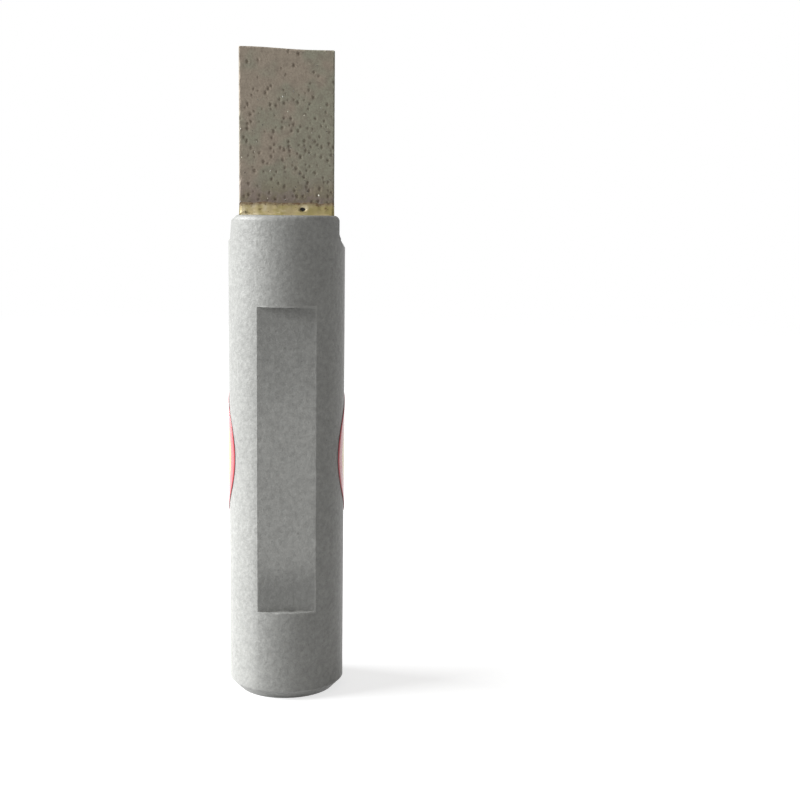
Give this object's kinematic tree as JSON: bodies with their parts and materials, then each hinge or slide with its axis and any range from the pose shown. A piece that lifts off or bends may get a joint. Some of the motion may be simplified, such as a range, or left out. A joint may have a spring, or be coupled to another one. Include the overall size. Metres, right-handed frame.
{
  "type": "diamond wheel dresser",
  "caption": "Round steel shank with a milled clamping flat and a diamond-filled bar brazed across its front end, used to true and dress grinding wheels.",
  "frame": {"origin": "centre of the shank's rear face, on which the part stands", "axes": "+Z along the shank towards the bar, -Y out of the clamping flat, X along the slot and the bar's width"},
  "size_m": [0.0122, 0.0121, 0.0667],
  "materials": {
    "silver_paint": "satin",
    "sintered_metal": "matte",
    "braze_alloy": "satin",
    "label_paper": "satin"
  },
  "bodies": {
    "root": {"shank": "silver_paint", "diamond_bar": "sintered_metal", "braze": "braze_alloy", "label": "label_paper"}
  },
  "joints": []
}
